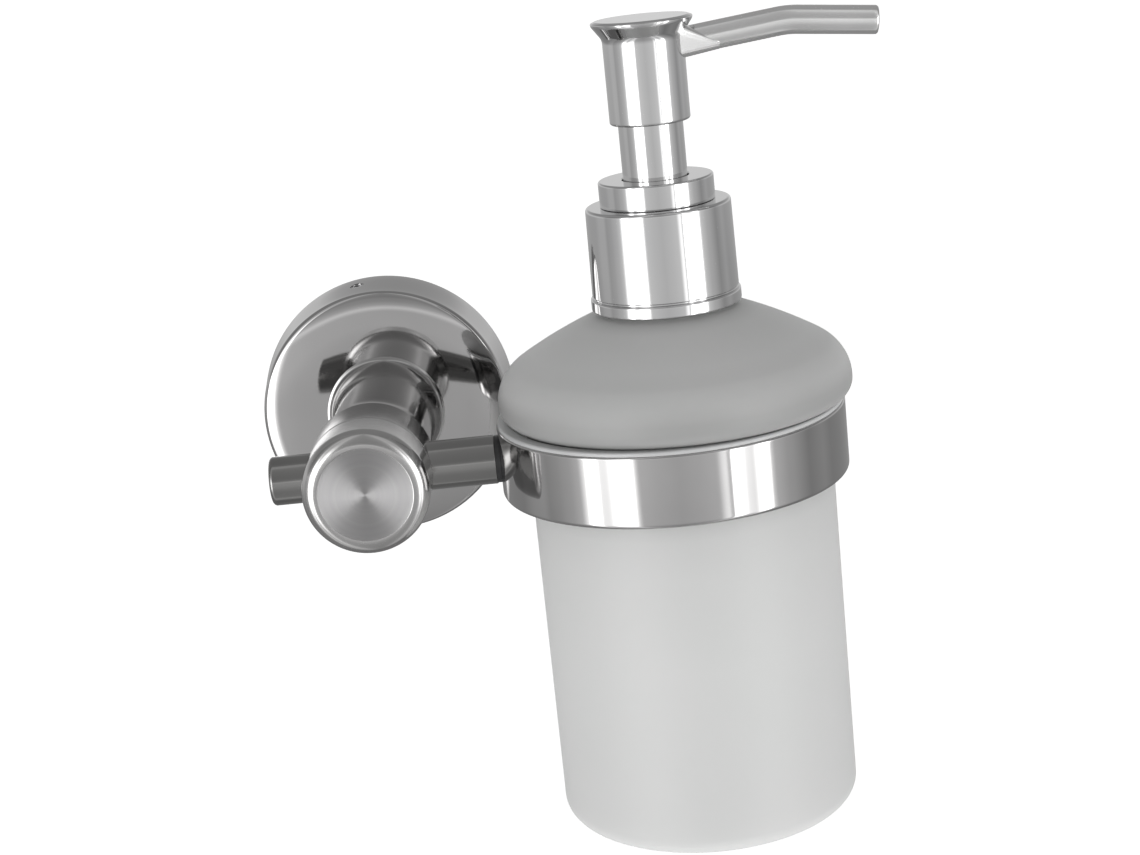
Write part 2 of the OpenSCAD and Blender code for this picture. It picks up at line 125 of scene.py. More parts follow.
def link(name, mesh, body, nodes=(), mat=None, smooth=40):
    """Makes the mesh a visible piece of a body, in the place of the CAD nodes named."""
    o = bpy.data.objects.new(name, mesh)
    bpy.context.scene.collection.objects.link(o)
    if mat:
        mesh.materials.append(mat)
    shade(o, smooth)
    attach(o, body)
    if nodes:
        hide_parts(*nodes)
    return o


def shade(o, angle):
    """Smooth shading with hard edges where two faces meet at more than this angle."""
    me = o.data
    for p in me.polygons:
        p.use_smooth = True
    bm = bmesh.new()
    bm.from_mesh(me)
    limit = math.radians(angle)
    for e in bm.edges:
        e.smooth = not (len(e.link_faces) == 2 and e.calc_face_angle(0) > limit)
    bm.to_mesh(me)
    bm.free()


def revolve(profile, place=UP, segs=160):
    """A closed profile of (radius, height) in mm, turned round the height axis; radius 0 gives one vertex."""
    bm = bmesh.new()
    rings = []
    for r, z in profile:
        if r < 1e-6:
            rings.append([bm.verts.new((0, 0, z * MM))])
        else:
            rings.append([bm.verts.new((r * MM * math.cos(2 * PI * k / segs),
                                        r * MM * math.sin(2 * PI * k / segs), z * MM)) for k in range(segs)])
    n = len(rings)
    for i in range(n):
        a, b = rings[i], rings[(i + 1) % n]
        if len(a) == 1 and len(b) == 1:
            continue
        for k in range(segs):
            q = (k + 1) % segs
            if len(a) == 1:
                bm.faces.new((a[0], b[q], b[k]))
            elif len(b) == 1:
                bm.faces.new((a[k], a[q], b[0]))
            else:
                bm.faces.new((a[k], a[q], b[q], b[k]))
    bmesh.ops.recalc_face_normals(bm, faces=bm.faces)
    bmesh.ops.transform(bm, matrix=place, verts=bm.verts)
    me = bpy.data.meshes.new("turned")
    bm.to_mesh(me)
    bm.free()
    return me


def cut(obj, *cutters):
    """Takes each cutter mesh out of obj's mesh for good."""
    for me in cutters:
        c = bpy.data.objects.new("cutter", me)
        bpy.context.scene.collection.objects.link(c)
        m = obj.modifiers.new("cut", "BOOLEAN")
        m.operation = "DIFFERENCE"
        m.solver = "EXACT"
        m.object = c
        dg = bpy.context.evaluated_depsgraph_get()
        done = bpy.data.meshes.new_from_object(obj.evaluated_get(dg))
        obj.modifiers.remove(m)
        bpy.data.objects.remove(c)
        old = obj.data
        obj.data = done
        bpy.data.meshes.remove(old)
    shade(obj, 32)


# ---------------------------------------------------------------- materials


class Nodes:
    """Short names for building a node tree."""

    def __init__(self, tree):
        self.t = tree

    def add(self, kind, **props):
        n = self.t.nodes.new(kind)
        for k, v in props.items():
            setattr(n, k, v)
        return n

    def wire(self, a, out, b, inp):
        self.t.links.new(a.outputs[out], b.inputs[inp])

    def math(self, op, a, b=None, c=None):
        n = self.add("ShaderNodeMath", operation=op)
        for i, v in enumerate((a, b, c)):
            if v is None:
                continue
            if isinstance(v, (int, float)):
                n.inputs[i].default_value = v
            else:
                self.t.links.new(v, n.inputs[i])
        return n.outputs[0]

    def ramp(self, fac, stops):
        """A ramp of greys or colours from (place, value) pairs."""
        n = self.add("ShaderNodeValToRGB")
        cr = n.color_ramp
        while len(cr.elements) > 1:
            cr.elements.remove(cr.elements[-1])
        for i, (pos, col) in enumerate(stops):
            e = cr.elements[0] if i == 0 else cr.elements.new(pos)
            e.position = pos
            e.color = (col, col, col, 1) if isinstance(col, (int, float)) else (*col, 1)
        self.t.links.new(fac, n.inputs[0])
        return n.outputs[0]

    def noise(self, vec, scale, detail=4, rough=0.5):
        n = self.add("ShaderNodeTexNoise")
        n.inputs["Scale"].default_value = scale
        n.inputs["Detail"].default_value = detail
        n.inputs["Roughness"].default_value = rough
        self.t.links.new(vec, n.inputs["Vector"])
        return n.outputs["Fac"]

    def spread(self, val, lo, hi):
        """Stretches a noise value over a range."""
        n = self.add("ShaderNodeMapRange")
        n.inputs["From Min"].default_value = 0.3
        n.inputs["From Max"].default_value = 0.7
        n.inputs["To Min"].default_value = lo
        n.inputs["To Max"].default_value = hi
        self.t.links.new(val, n.inputs["Value"])
        return n.outputs[0]

    def bump(self, height, strength, distance):
        n = self.add("ShaderNodeBump")
        n.inputs["Strength"].default_value = strength
        n.inputs["Distance"].default_value = distance
        self.t.links.new(height, n.inputs["Height"])
        return n.outputs[0]


def material(name):
    """A new material with one shader: the material, its nodes, the shader and the object coordinates."""
    m = bpy.data.materials.new(name)
    m.use_nodes = True
    t = m.node_tree
    t.nodes.clear()
    n = Nodes(t)
    out = n.add("ShaderNodeOutputMaterial")
    b = n.add("ShaderNodeBsdfPrincipled")
    n.wire(b, 0, out, 0)
    tc = n.add("ShaderNodeTexCoord")
    return m, n, b, tc.outputs["Object"]


def tint(n, fac, dark, light):
    """A colour between two, by a noise value."""
    return n.ramp(fac, [(0.3, dark), (0.7, light)])


def plated(name, dark, light, rough, wear=0.02):
    """Bright plating: a faint cloud in colour, finger haze in roughness, and a hairline polish."""
    m, n, b, pos = material(name)
    b.inputs["Metallic"].default_value = 1
    cloud = n.noise(pos, 60, 3)
    t = n.t
    t.links.new(tint(n, cloud, dark, light), b.inputs["Base Color"])
    haze = n.noise(pos, 210, 5, 0.62)
    t.links.new(n.spread(haze, rough, rough + wear), b.inputs["Roughness"])
    fine = n.noise(pos, 5200, 2)
    t.links.new(n.bump(fine, 0.05, 0.00002), b.inputs["Normal"])
    return m


CHROME = plated("chrome", (0.575, 0.575, 0.58), (0.605, 0.603, 0.602), 0.035)
CHROME_HOLDER = plated("chrome_holder", (0.415, 0.41, 0.41), (0.44, 0.435, 0.434), 0.04)
# the post and the bar take the holder's chrome with darker base colours: painted shade for the darker
# reflections they show
SHADED_CHROME_POST = plated("chrome_post_shaded", (0.36, 0.357, 0.355), (0.39, 0.385, 0.383), 0.09)
SHADED_CHROME_BAR = plated("chrome_bar_shaded", (0.262, 0.26, 0.256), (0.29, 0.287, 0.283), 0.1, 0.05)
SATIN = plated("satin_chrome", (0.43, 0.425, 0.425), (0.47, 0.465, 0.46), 0.13, 0.05)
# the spout takes the head's chrome with a much lighter base colour: painted light for the brighter reflection
# it shows
LIT_CHROME_SPOUT = plated("chrome_spout_lit", (0.78, 0.778, 0.775), (0.83, 0.827, 0.825), 0.16, 0.05)
CHROME_RING = plated("chrome_ring", (0.46, 0.455, 0.455), (0.49, 0.485, 0.484), 0.04)
STEEL = plated("zinc_steel", (0.42, 0.42, 0.43), (0.5, 0.5, 0.5), 0.22, 0.12)


def spun():
    """A face turned on a lathe: fine grooves round its centre, and a highlight that fans out across them."""
    m, n, b, pos = material("spun_face")
    t = n.t
    sep = n.add("ShaderNodeSeparateXYZ")
    t.links.new(pos, sep.inputs[0])
    x, z = sep.outputs[0], sep.outputs[2]
    r = n.math("SQRT", n.math("ADD", n.math("MULTIPLY", x, x), n.math("MULTIPLY", z, z)))
    comb = n.add("ShaderNodeCombineXYZ")
    t.links.new(n.math("MULTIPLY", r, 1.0), comb.inputs[0])
    groove = n.noise(comb.outputs[0], 5200, 3, 0.6)
    broad = n.noise(comb.outputs[0], 900, 3, 0.6)
    b.inputs["Metallic"].default_value = 1
    t.links.new(tint(n, broad, (0.355, 0.35, 0.355), (0.395, 0.39, 0.39)), b.inputs["Base Color"])
    t.links.new(n.spread(groove, 0.32, 0.4), b.inputs["Roughness"])
    b.inputs["Anisotropic"].default_value = 0.95
    b.inputs["Anisotropic Rotation"].default_value = 0.25
    tan = n.add("ShaderNodeTangent", direction_type="RADIAL", axis="Y")
    n.wire(tan, 0, b, "Tangent")
    t.links.new(n.bump(groove, 0.05, 0.00002), b.inputs["Normal"])
    return m


SPUN = spun()


def frosted():
    """Etched glass: satin surface, light carried a little way inside, a fine etched grain, and painted shade
    and light by height.
    """
    m, n, b, pos = material("frosted_glass")
    t = n.t
    cloud = tint(n, n.noise(pos, 35, 3), (0.975, 0.985, 0.975), (1.0, 1.0, 0.995))
    sep = n.add("ShaderNodeSeparateXYZ")
    t.links.new(pos, sep.inputs[0])
    z = n.math("DIVIDE", n.math("ADD", sep.outputs[2], 0.08), 0.13)
    # painted shade by height: the glass is darkened in and just above the ring, on the shoulder's lower edge,
    # and under the collar at the foot of the neck, where shade falls; the lower body and the top of the
    # shoulder are painted lighter
    tone = 0.68
    body = n.ramp(z, [((h + 80) / 130, tone * v) for h, v in (
        (-80, 1.08), (-40, 1.10), (-20, 1.05), (-12, 0.99), (-7.5, 0.85), (2, 0.58), (8.3, 0.54), (11, 0.555),
        (13, 0.64), (16, 0.90), (19, 1.10), (22, 1.16), (27, 1.10), (28.5, 0.93), (29.6, 0.84),
        (31, 1.0), (45, 1.0))])
    shade_and_cloud = n.add("ShaderNodeMix", data_type="RGBA", blend_type="MULTIPLY")
    shade_and_cloud.inputs[0].default_value = 1.0
    t.links.new(body, shade_and_cloud.inputs[6])
    t.links.new(cloud, shade_and_cloud.inputs[7])
    t.links.new(shade_and_cloud.outputs[2], b.inputs["Base Color"])
    grain = n.noise(pos, 2600, 4, 0.7)
    t.links.new(n.spread(grain, 0.40, 0.5), b.inputs["Roughness"])
    b.inputs["IOR"].default_value = 1.5
    b.inputs["Subsurface Weight"].default_value = 0.35
    b.inputs["Subsurface Radius"].default_value = (1, 1, 1)
    b.inputs["Subsurface Scale"].default_value = 0.006
    t.links.new(n.bump(grain, 0.12, 0.00004), b.inputs["Normal"])
    return m


FROST = frosted()


def moulded(name, dark, light, rough, sss=0.0, grain=1400):
    """Moulded plastic or rubber: a cloudy colour, a fine mould grain, and a little light inside."""
    m, n, b, pos = material(name)
    t = n.t
    t.links.new(tint(n, n.noise(pos, 90, 3), dark, light), b.inputs["Base Color"])
    g = n.noise(pos, grain, 3, 0.6)
    t.links.new(n.spread(g, rough, rough + 0.1), b.inputs["Roughness"])
    b.inputs["IOR"].default_value = 1.48
    if sss:
        b.inputs["Subsurface Weight"].default_value = sss
        b.inputs["Subsurface Radius"].default_value = (1, 1, 1)
        b.inputs["Subsurface Scale"].default_value = 0.002
    t.links.new(n.bump(g, 0.05, 0.00001), b.inputs["Normal"])
    return m


WHITE = moulded("white_plastic", (0.74, 0.74, 0.73), (0.8, 0.8, 0.79), 0.3, 0.3)
CLEAR = moulded("clear_plastic", (0.62, 0.625, 0.625), (0.68, 0.685, 0.685), 0.3, 0.0, 900)
BLACK = moulded("black_plastic", (0.012, 0.012, 0.013), (0.022, 0.022, 0.023), 0.35)
RUBBER = moulded("rubber", (0.12, 0.12, 0.125), (0.17, 0.17, 0.175), 0.55)

SLOT_LOOK = {"steel": STEEL, "white_plastic": WHITE, "clear_plastic": CLEAR, "rubber": RUBBER,
             "black_plastic": BLACK, "chrome": CHROME, "spun_chrome": CHROME, "frosted_glass": FROST}
node_slot = {s["node"]: s["material_slot"] for s in frame["record"]["subparts"]}
for node, obj in frame["nodes"].items():
    look = SLOT_LOOK[node_slot[node]]
    if obj.material_slots:
        for s in obj.material_slots:
            s.material = look
    else:
        obj.data.materials.append(look)

# ---------------------------------------------------------------- wall flange

flange_low, flange_high = size_of("flange")
FR = (flange_high.x - flange_low.x) / 2 / MM
FSEAT = -flange_low.y / MM                   # where the post stands
foot_r = 13.5                                # the post's foot
rim_r = FR - 1.0
edge_r = 1.5
fall = math.radians(13)
face_x = rim_r - edge_r + edge_r * math.sin(fall)
flat_x = foot_r + 1.5
drop = math.tan(fall) * (face_x - flat_x) / 3
FD = FSEAT - drop + edge_r - edge_r * math.cos(fall)     # depth of the face's edge
flange_profile = [(FR - 1.6, 0), (FR - 0.35, 0), (FR - 0.08, 0.12), (FR, 0.4), (FR - 0.02, 0.8)]
flange_profile += [(FR - 1.0 * i / 6, 1 + (FD - 2.7) * i / 6) for i in range(1, 6)]
flange_profile += arc(rim_r - edge_r, FD - edge_r, edge_r, 0, 77, 14)
flange_profile += [(flat_x + (face_x - flat_x) * i / 40, FSEAT - drop * (i / 40) ** 3)
                   for i in range(39, -1, -1)]
flange_profile += [(foot_r + 0.3, FSEAT), (foot_r - 0.5, FSEAT), (3.02, FSEAT),
                   (3.02, FD - 1.6), (rim_r - 1.6, FD - 1.6)]
flange = link("flange_shell", revolve(flange_profile, OUT, 224), "holder", ["flange"],
              CHROME_HOLDER)
GRUB = Matrix.Rotation(math.radians(-8), 4, "Y") @ Matrix.Translation((0, -6 * MM, 0))
cut(flange, revolve([(0, 20), (1.56, 20), (1.56, 40), (0, 40)], GRUB, 40))

# ---------------------------------------------------------------- post, end cap and bar

cap_low, cap_high = size_of("end_cap")
PR = (cap_high.x - cap_low.x) / 2 / MM
SEAM = -cap_high.y / MM - 0.02
CAPF = -cap_low.y / MM
waist = 11.1
flare = 8.3                                  # length of the post's flared foot
cove = 12                                    # length of the cove from waist to head
back = REACH / MM - 7                        # where the head begins
post_profile = [(0, FSEAT + 0.02), (foot_r, FSEAT + 0.02), (foot_r - 0.06, FSEAT + 0.05)]
for i in range(1, 31):
    a = PI / 2 * i / 30
    post_profile.append((foot_r - 0.1 - (foot_r - 0.1 - waist) * math.sin(a),
                         FSEAT + 0.06 + flare * (1 - math.cos(a))))
for i in range(0, 25):
    t = i / 24
    post_profile.append((waist + (PR - 0.5 - waist) * t ** 2.6, back - cove + (cove - 0.4) * t))
post_profile += arc(PR - 0.4, back + 0.4, 0.4, -60, 0, 4)
post_profile += [(PR, back + 0.9), (PR, SEAM - 0.5)]
post_profile += arc(PR - 0.25, SEAM - 0.25, 0.25, 0, 90, 4) + [(0, SEAM)]
post = link("post_casting", revolve(post_profile, OUT, 192), "holder", ["post"], SHADED_CHROME_POST)
BAR = Matrix.Translation((0, BY, 0)) @ ALONG
bar_low, bar_high = size_of("cross_bar")
BR = (bar_high.z - bar_low.z) / 2 / MM
bar_hole = revolve([(0, -20), (BR + 0.02, -20), (BR + 0.02, 20), (0, 20)], BAR, 96)
cut(post, bar_hole)

cap_round = 3.2                              # the rounding of the cap's edge
disc = 9.74                                  # radius of its spun face
cap_side = [(0, SEAM + 0.03), (PR - 1.3, SEAM + 0.03), (PR - 1.3, SEAM + 0.28), (PR - 0.14, SEAM + 0.28),
            (PR - 0.03, SEAM + 0.33), (PR, SEAM + 0.45), (PR, SEAM + 0.7), (PR, CAPF - 3.5)]
cap_side += arc(PR - cap_round, CAPF - cap_round, cap_round, 0, 90, 26)
cap_side += [(9.9, CAPF - 0.005), (9.82, CAPF - 0.03), (disc, CAPF - 0.05)]
cap_face = [(disc - disc * i / 12, CAPF - 0.05) for i in range(1, 13)]
cap_mesh = revolve(cap_side + cap_face, OUT, 192)
cap = link("end_cap_turned", cap_mesh, "holder", ["end_cap"], SATIN)
cap.data.materials.append(SPUN)
for p in cap.data.polygons:
    c = p.center
    if -c.y / MM > CAPF - 0.1 and math.hypot(c.x, c.z) / MM < disc + 0.01:
        p.material_index = 1

bar_profile = rounded([(0, bar_low.x / MM), (BR, bar_low.x / MM, 0.85), (BR, bar_high.x / MM, 0.15),
                       (0, bar_high.x / MM)], closed=False)
link("cross_bar_turned", revolve(bar_profile, BAR, 128), "holder", ["cross_bar"], SHADED_CHROME_BAR)

# ---------------------------------------------------------------- ring and liner

ring_low, ring_high = size_of("ring_band")
RR = (ring_high.x - ring_low.x) / 2 / MM
RT, RB = ring_high.z / MM, ring_low.z / MM
RING = Matrix.Translation((RING_X, BY, 0))
ring_profile = rounded([(RR - 2, RB, 0.35), (RR, RB, 1.3), (RR, RT, 0.45), (RR - 2, RT, 0.2)])
link("ring_turned", revolve(ring_profile, RING, 256), "holder", ["ring_band"], CHROME_RING)
LT = size_of("ring_liner")[1].z / MM
liner_profile = rounded([(RR - 2.72, RB + 0.8, 0.2), (RR - 2.02, RB + 0.8, 0.2), (RR - 2.02, RT + 0.02),
                         (RR - 0.3, RT + 0.02, 0.1), (RR - 0.3, LT, 0.45), (RR - 2.72, LT, 0.3)])
link("ring_liner_moulded", revolve(liner_profile, RING, 256), "holder", ["ring_liner"],
     CLEAR)

# ---------------------------------------------------------------- bottle

ON = Matrix.Translation((BX, BY, 0))
SR = (bottle_high.x - bottle_low.x) / 2 / MM
ZB = bottle_low.z / MM
ZT = bottle_high.z / MM
SZ = LT + 0.05                               # underside of the shoulder
NB = ZT - 15.5                               # foot of the neck
BODY = 31.75                                 # radius of the straight body
body_foot = 3.8                              # rounding at the foot
edge = 9.2                                   # radius of the shoulder's edge
dome = 110                                   # radius of the dome above it
leave = math.radians(58)                     # where the edge turns into the dome
ex, ez = SR - edge, SZ + 3.55
tx, tz = ex - (dome - edge) * math.cos(leave), ez - (dome - edge) * math.sin(leave)
outer = [(0, ZB + 0.9), (14, ZB + 0.7), (19, ZB + 0.2), (21.5, ZB), (27.3, ZB)]
outer += arc(BODY - body_foot, ZB + body_foot, body_foot, -86, 0, 20)
outer += [(BODY, ZB + 6 + (SZ - 1 - ZB - 6) * i / 6) for i in range(7)]
outer += [(BODY, SZ - 0.5), (BODY + 0.06, SZ - 0.15), (BODY + 0.25, SZ), (BODY + 0.6, SZ)]
outer += arc(SR - 3.15, SZ + 3.15, 3.15, -88, 0, 16)
outer += arc(ex, ez, edge, 2, 58, 22) + arc(tx, tz, dome, 58.5, 68, 14)
outer += [(14.6, NB - 1.15), (13.7, NB - 0.8), (13.15, NB - 0.25), (13.0, NB + 0.4)]
outer += [(13.0, ZT - 1.2)] + arc(12.2, ZT - 0.8, 0.8, 0, 90, 6) + arc(10.8, ZT - 0.6, 0.6, 90, 180, 5)
inner = [(10.2, NB - 2.5), (10.5, NB - 3.6), (11.8, NB - 4.4)]
inner += arc(ex, ez + 0.2, 5.9, 58, 0, 10)
inner += [(31.45, ez - 0.8), (28.9, SZ + 0.5), (28.75, SZ - 1.5)]
inner += arc(24.75, ZB + 9, 4, 0, -90, 8) + [(0, ZB + 5)]
link("frosted_bottle", revolve(outer + inner, ON, 224), "bottle", ["glass_bottle"],
     FROST)


def helix_bead(name, r, z0, turns, pitch, height, width, body, mat):
    """A screw thread: a low rounded bead wound round the neck, fading in and out at its ends."""
    bm = bmesh.new()
    per = 72
    steps = int(turns * per)
    rings = []
    shape = [(-0.5, -0.25), (-0.32, 0.55), (-0.12, 0.95), (0.12, 0.95), (0.32, 0.55), (0.5, -0.25)]
    for i in range(steps + 1):
        a = 2 * PI * i / per
        fade = min(1, i / 14, (steps - i) / 14)
        z = z0 + pitch * i / per
        ring = []
        for s, h in shape:
            rr = (r + h * height * (fade if h > 0 else 1)) * MM
            ring.append(bm.verts.new((rr * math.cos(a), rr * math.sin(a), (z + s * width) * MM)))
        rings.append(ring)
    k = len(shape)
    for i in range(steps):
        for j in range(k):
            bm.faces.new((rings[i][j], rings[i + 1][j], rings[i + 1][(j + 1) % k], rings[i][(j + 1) % k]))
    bm.faces.new(rings[0])
    bm.faces.new(rings[-1])
    bmesh.ops.recalc_face_normals(bm, faces=bm.faces)
    bmesh.ops.transform(bm, matrix=ON, verts=bm.verts)
    me = bpy.data.meshes.new(name)
    bm.to_mesh(me)
    bm.free()
    return link(name, me, body, (), mat, 60)


helix_bead("neck_thread", 13.0, ZT - 10.6, 1.9, 4.25, 0.26, 1.9, "bottle", FROST)

# ---------------------------------------------------------------- collar and step ring

shell_low, shell_high = size_of("collar_shell")
CB, CT = shell_low.z / MM, shell_high.z / MM
CR = 14.9                                    # radius of the collar
shell = [(CR - 0.4, CB, 0.1), (CR + 0.6, CB, 0.5), (CR + 0.6, CB + 2.55, 0.5), (CR + 0.02, CB + 2.75, 0.1),
         (CR + 0.02, CB + 3.0, 0.08), (CR + 0.22, CB + 3.2, 0.12), (CR, CT, 0.65), (9.3, CT),
         (9.3, CT - 0.8), (CR - 0.4, CT - 0.8)]
link("collar_spun", revolve(rounded(shell), ON, 192), "closure", ["collar_shell"], CHROME)
step_low, step_high = size_of("step_ring")
ST = step_high.z / MM
TR = (step_high.x - step_low.x) / 2 / MM
step = [(8.3, step_low.z / MM), (9.25, step_low.z / MM), (9.25, CT + 0.02), (TR, CT + 0.02, 0.2),
        (TR, ST, 0.45), (6.85, ST, 0.25), (6.85, ST - 1.5), (8.3, ST - 1.5)]
link("step_ring_turned", revolve(rounded(step), ON, 160), "closure", ["step_ring"], CHROME)

# ---------------------------------------------------------------- sleeve and head

sl_low, sl_high = size_of("stem_sleeve")
SLR = (sl_high.x - sl_low.x) / 2 / MM
sleeve = [(SLR - 0.6, sl_low.z / MM), (SLR, sl_low.z / MM, 0.15),
          (SLR, sl_high.z / MM), (SLR - 0.6, sl_high.z / MM)]
link("sleeve_tube", revolve(rounded(sleeve), ON, 128), "head", ["stem_sleeve"], CHROME)

head_low, head_high = size_of("head_shell")
HB, HT = head_low.z / MM, head_high.z / MM
HR = 8.2
CAPR = (BX - head_low.x) / MM
core_top = HT - 3.6
head_out = rounded([(HR - 1.25, HB, 0.15), (HR, HB, 0.75), (HR, HB + 6), (HR + 0.02, HT - 3.7, 2.2),
                    (CAPR - 0.15, HT - 1.0, 0.9), (CAPR, HT - 0.35, 0.28), (CAPR - 0.9, HT, 0.6),
                    (0, HT), (0, core_top)], closed=False)
head_prof = head_out + [(HR - 1.25, core_top)]
link("head_casting", revolve(head_prof, ON, 192), "head", ["head_shell"], CHROME)

# the spout: a tube swept along a line that rises, bends smoothly and falls
SPR = 2.9                                    # radius of the tube
SPIN = 2.2                                   # radius of its bore
rise = math.radians(6)
bend_x = 29.0
half = 2.0                                   # half the length of the bend
tip = size_of("spout_tube")[1].x / MM - BX / MM - 0.3      # the open end
line_z = HT - 6.4


def spout_path(x):
    """Height of the spout's axis at a distance from the head's axis, with the bend eased."""
    up = line_z + x * math.tan(rise)
    down = line_z + (2 * bend_x - x) * math.tan(rise)
    if x < bend_x - half:
        return up
    if x > bend_x + half:
        return down
    t = (x - (bend_x - half)) / (2 * half)
    z0 = line_z + (bend_x - half) * math.tan(rise)
    slope = math.tan(rise)
    return z0 + 2 * half * slope * (t - t * t)


def sweep(xs, radii, name):
    """Rings of a given radius along the spout's path. Each item of radii is a radius for the x beside it."""
    bm = bmesh.new()
    segs = 96
    rings = []
    for x, r in zip(xs, radii):
        d = 0.01
        slope = (spout_path(x + d) - spout_path(x - d)) / (2 * d)
        tx_, tz_ = 1 / math.hypot(1, slope), slope / math.hypot(1, slope)
        nx, nz = -tz_, tx_
        zc = spout_path(x)
        rings.append([bm.verts.new(((x + r * math.sin(2 * PI * k / segs) * nx) * MM,
                                    r * math.cos(2 * PI * k / segs) * MM,
                                    (zc + r * math.sin(2 * PI * k / segs) * nz) * MM)) for k in range(segs)])
    n = len(rings)
    for i in range(n):
        a, b = rings[i], rings[(i + 1) % n]
        for k in range(segs):
            q = (k + 1) % segs
            bm.faces.new((a[k], a[q], b[q], b[k]))
    bmesh.ops.recalc_face_normals(bm, faces=bm.faces)
    bmesh.ops.transform(bm, matrix=ON, verts=bm.verts)
    me = bpy.data.meshes.new(name)
    bm.to_mesh(me)
    bm.free()
    return me


xs = [3.8, 6, 10, 15, 20, bend_x - half - 1]
xs += [bend_x - half + 2 * half * i / 12 for i in range(13)]
xs += [bend_x + half + 1, bend_x + 9, bend_x + 13, tip - 1.2, tip - 0.5, tip - 0.38, tip - 0.2, tip - 0.06, tip]
rs = [SPR] * (len(xs) - 4) + [SPR - 0.02, SPR - 0.1, SPR - 0.22, SPR - 0.4]
xi = [tip, tip - 0.2, tip - 1] + [bend_x + half - 2 * half * i / 12 for i in range(13)] + [20, 10, 3.8]
ri = [SPIN + 0.12, SPIN, SPIN] + [SPIN] * 13 + [SPIN] * 3
link("spout_drawn", sweep(xs + xi, rs + ri, "spout"), "head", ["spout_tube"], LIT_CHROME_SPOUT)


def web():
    """The cast root of the spout: walls proud of the tube, running down from the flat top."""
    bm = bmesh.new()
    segs = 96
    rings = []
    x0, x1 = 6.4, 15.0
    steps = 34
    for i in range(steps + 1):
        t = i / steps
        x = x0 + (x1 - x0) * t
        zc = spout_path(x)
        top = (HT - 0.75 - zc) * (1 - t) ** 0.9 - 1.2 * t
        wide = SPR + 0.04 + 1.15 * (1 - t) ** 1.2
        low = SPR + 0.04 + 0.35 * (1 - t)
        ring = []
        for k in range(segs):
            a = 2 * PI * k / segs
            c, s_ = math.cos(a), math.sin(a)
            if s_ >= 0:
                e = 5.0
                q = (abs(c / wide) ** e + abs(s_ / max(top + 1.6, 0.3)) ** e) ** (-1 / e)
                z_ = q * s_ - 1.6
            else:
                q = ((c / wide) ** 2 + (s_ / (low - 1.6)) ** 2) ** -0.5
                z_ = q * s_ - 1.6
            ring.append(bm.verts.new((x * MM, q * c * MM, (zc + z_) * MM)))
        rings.append(ring)
    for i in range(steps):
        for k in range(segs):
            q = (k + 1) % segs
            bm.faces.new((rings[i][k], rings[i][q], rings[i + 1][q], rings[i + 1][k]))
    bm.faces.new(rings[0])
    bm.faces.new(rings[-1])
    bmesh.ops.recalc_face_normals(bm, faces=bm.faces)
    bmesh.ops.transform(bm, matrix=ON, verts=bm.verts)
    me = bpy.data.meshes.new("web")
    bm.to_mesh(me)
    bm.free()
    return me


link("spout_root", web(), "head", (), LIT_CHROME_SPOUT, 38)

# ---------------------------------------------------------------- studio

FLOOR_Z = -0.42


def stage_plane(name, corners, mat):
    me = bpy.data.meshes.new(name)
    me.from_pydata(corners, [], [(0, 1, 2, 3)])
    me.materials.append(mat)
    o = bpy.data.objects.new(name, me)
    bpy.context.scene.collection.objects.link(o)
    return o


floor_mat, fn, fb, fpos = material("studio_floor")
fn.t.links.new(tint(fn, fn.noise(fpos, 3, 2), (0.93, 0.93, 0.93), (0.95, 0.95, 0.95)),
               fb.inputs["Base Color"])
fb.inputs["Roughness"].default_value = 0.9
fb.inputs["Specular IOR Level"].default_value = 0.1
fb.inputs["Emission Color"].default_value = (1, 1, 1, 1)
fb.inputs["Emission Strength"].default_value = 0.75
S = 14
floor = stage_plane("floor", [(-S, -S, FLOOR_Z), (S, -S, FLOOR_Z), (S, S, FLOOR_Z), (-S, S, FLOOR_Z)],
                    floor_mat)
floor.visible_glossy = False

world = bpy.data.worlds.new("studio")
bpy.context.scene.world = world
world.use_nodes = True
wt = world.node_tree
wt.nodes.clear()
w = Nodes(wt)
w_out = w.add("ShaderNodeOutputWorld")
w_bg = w.add("ShaderNodeBackground")
w.wire(w_bg, 0, w_out, 0)
w_tc = w.add("ShaderNodeTexCoord")
w_sep = w.add("ShaderNodeSeparateXYZ")
w.wire(w_tc, "Generated", w_sep, 0)
wx, wy, wz = w_sep.outputs
# 0 at the wall side, 0.5 straight out in front of the wall, 1 at the wall side again; over 0.5 is to the right
turn = w.math("ADD", w.math("DIVIDE", w.math("ARCTAN2", wx, w.math("MULTIPLY", wy, -1.0)), 2 * PI), 0.5)
level = w.math("DIVIDE", w.math("ARCSINE", wz), PI / 180)


def around(left_right):
    """Ramp stops from (angle from straight ahead, value) pairs."""
    return [((a + 180) / 360, v) for a, v in left_right]


# brightness of the room by direction round the object
room = w.ramp(turn, around([
    (-179.9, 0.7), (-147, 0.68), (-112, 0.74), (-100, 0.66), (-94, 0.50), (-84, 0.52), (-74, 0.62),
    (-64, 0.9), (-30, 0.95), (-24, 0.80), (-14, 0.72), (0, 0.655), (14, 0.72), (24, 0.80), (30, 0.95),
    (64, 0.85), (76, 0.60), (88, 0.5), (96, 0.42), (102, 0.5), (112, 0.66), (147, 0.70), (179.9, 0.7)]))
# the tall window and lamp bands seen as bright stripes in the chrome
lamps = w.ramp(turn, around([
    (-67, 0), (-62.5, 0.30), (-61, 1.0), (-54, 1.0), (-52, 0.26), (-47, 0.26), (-43, 0.6), (-39, 1.0),
    (-31, 1.0), (-28.5, 0.25), (-26, 0),
    (25, 0), (29, 0.2), (31.5, 0.22), (32.6, 0.0), (34.0, 0.0), (35.2, 1.0), (40, 1.0), (44, 0.3), (50, 0.22),
    (53, 0.6), (55, 1.0), (60.5, 1.0), (63, 0.12), (66, 0)]))
height = w.math("MULTIPLY_ADD", level, 1 / 180, 0.5)
